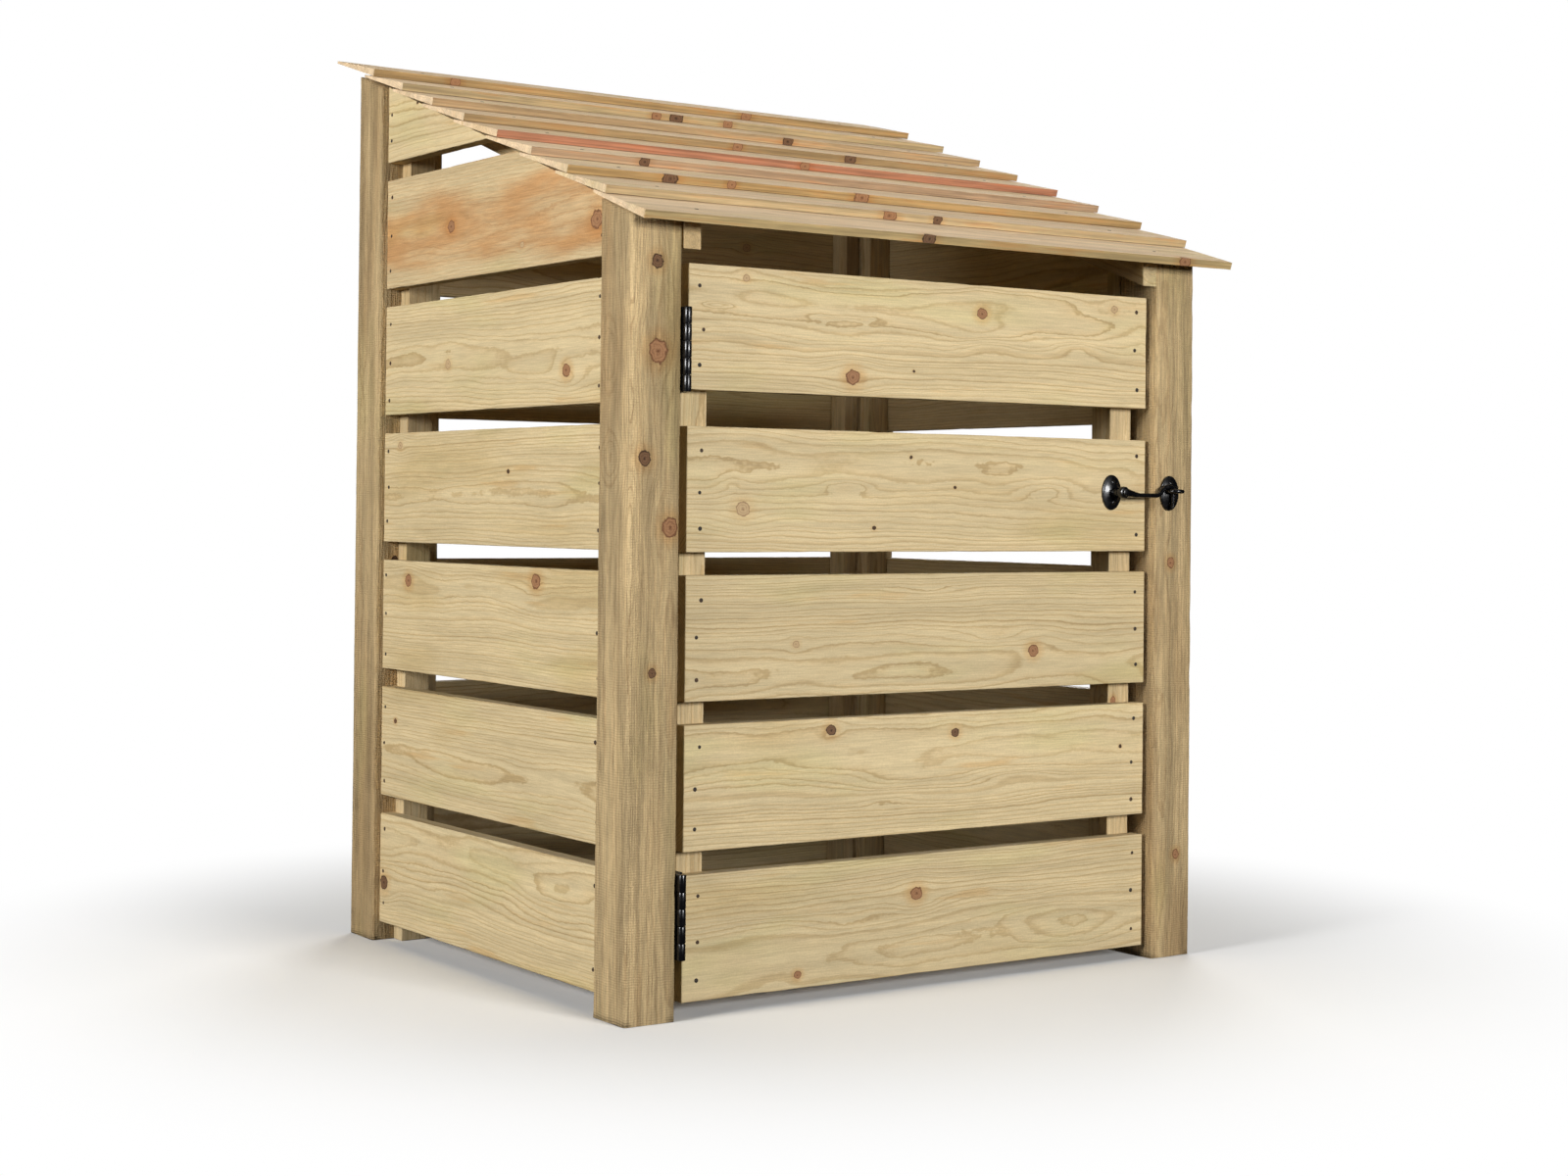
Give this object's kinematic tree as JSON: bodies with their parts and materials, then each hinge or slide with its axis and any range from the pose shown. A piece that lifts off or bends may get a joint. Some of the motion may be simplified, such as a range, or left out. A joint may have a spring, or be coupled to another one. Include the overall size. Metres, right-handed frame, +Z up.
{
  "type": "slatted timber log store",
  "caption": "Outdoor slatted timber store with a sloping lapped board roof, a slatted door on two hinges and a cabin hook.",
  "frame": {"origin": "on the ground, under the middle of the bounding box, which is the roof's outline", "axes": "+Z up; the door faces -Y; the hinges are at -X and the cabin hook at +X"},
  "size_m": [0.933, 0.8454, 1.2325],
  "materials": {
    "post_timber": "rough-sawn pressure-treated softwood, brown-green, with dark knots and saw marks",
    "batten_timber": "sawn pressure-treated softwood batten",
    "wall_timber": "pale green-yellow treated softwood board with growth rings and knots",
    "door_timber": "pale planed-face treated softwood board with growth rings and knots",
    "roof_timber": "sawn feather-edge board, grey-beige on top with orange to red-brown edges",
    "black_iron": "glossy black japanned iron"
  },
  "bodies": {
    "frame": {"post_front_left": "post_timber", "post_front_right": "post_timber", "post_rear_left": "post_timber", "post_rear_right": "post_timber", "side_batten_front_left": "batten_timber", "side_batten_front_right": "batten_timber", "side_batten_rear_left": "batten_timber", "side_batten_rear_right": "batten_timber", "back_batten_left": "batten_timber", "back_batten_right": "batten_timber", "rafter_left": "batten_timber", "rafter_right": "batten_timber", "side_board_left_1": "wall_timber", "side_board_left_2": "wall_timber", "side_board_left_3": "wall_timber", "side_board_left_4": "wall_timber", "side_board_left_5": "wall_timber", "side_board_left_6": "wall_timber", "side_board_left_7": "wall_timber", "side_board_right_1": "wall_timber", "side_board_right_2": "wall_timber", "side_board_right_3": "wall_timber", "side_board_right_4": "wall_timber", "side_board_right_5": "wall_timber", "side_board_right_6": "wall_timber", "side_board_right_7": "wall_timber", "back_board_1": "wall_timber", "back_board_2": "wall_timber", "back_board_3": "wall_timber", "back_board_4": "wall_timber", "back_board_5": "wall_timber", "back_board_6": "wall_timber", "roof_board_1": "roof_timber", "roof_board_2": "roof_timber", "roof_board_3": "roof_timber", "roof_board_4": "roof_timber", "roof_board_5": "roof_timber", "roof_board_6": "roof_timber", "roof_board_7": "roof_timber", "roof_board_8": "roof_timber", "roof_board_9": "roof_timber", "hinge_lower_post_leaf": "black_iron", "hinge_lower_pin": "black_iron", "hinge_upper_post_leaf": "black_iron", "hinge_upper_pin": "black_iron", "latch_post_plate": "black_iron"},
    "door": {"door_board_1": "door_timber", "door_board_2": "door_timber", "door_board_3": "door_timber", "door_board_4": "door_timber", "door_board_5": "door_timber", "door_stile_hinge_side": "batten_timber", "door_stile_hook_side": "batten_timber", "hinge_lower_door_leaf": "black_iron", "hinge_upper_door_leaf": "black_iron", "latch_door_plate": "black_iron"},
    "latch_hook": {"latch_hook": "black_iron"}
  },
  "joints": [
    {"name": "door_swing", "type": "hinge", "parent": "frame", "child": "door", "pos_m": [-0.3833, -0.38362, 0.4545], "axis": [0, 0, -1], "range_deg": [0, 175]},
    {"name": "hook_lift", "type": "hinge", "parent": "door", "child": "latch_hook", "pos_m": [0.3, -0.38962, 0.627], "axis": [0, -1, 0], "range_deg": [0, 270]}
  ]
}
